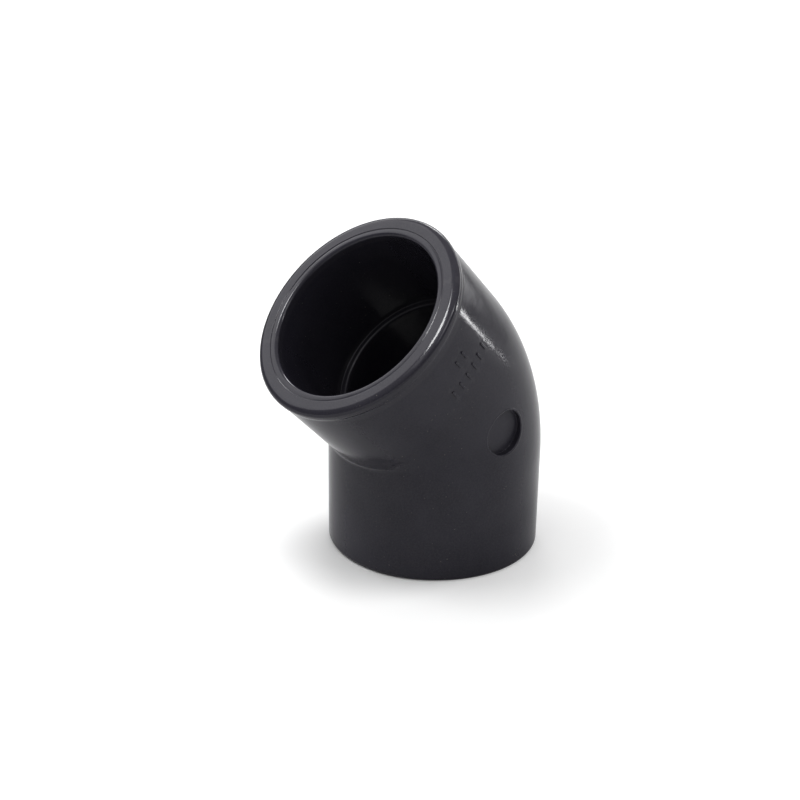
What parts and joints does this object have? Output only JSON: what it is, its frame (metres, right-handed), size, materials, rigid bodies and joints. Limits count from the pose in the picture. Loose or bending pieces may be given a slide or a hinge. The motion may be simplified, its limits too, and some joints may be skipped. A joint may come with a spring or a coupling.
{
  "type": "pipe elbow",
  "caption": "45 degree PVC-U pressure pipe elbow with a solvent-cement socket at each end, moulded in one piece in dark grey.",
  "frame": {"origin": "centre of the lower mouth face, on the lower socket's axis", "axes": "+Z along the lower socket's axis into the fitting; the upper socket leans towards -X; the gate recess and the raised bars are on the -Y side"},
  "size_m": [0.068, 0.0509, 0.0788],
  "materials": {
    "dark_grey_pvc": "satin moulded PVC-U, charcoal grey"
  },
  "bodies": {
    "root": {"elbow_body": "dark_grey_pvc"}
  },
  "joints": []
}
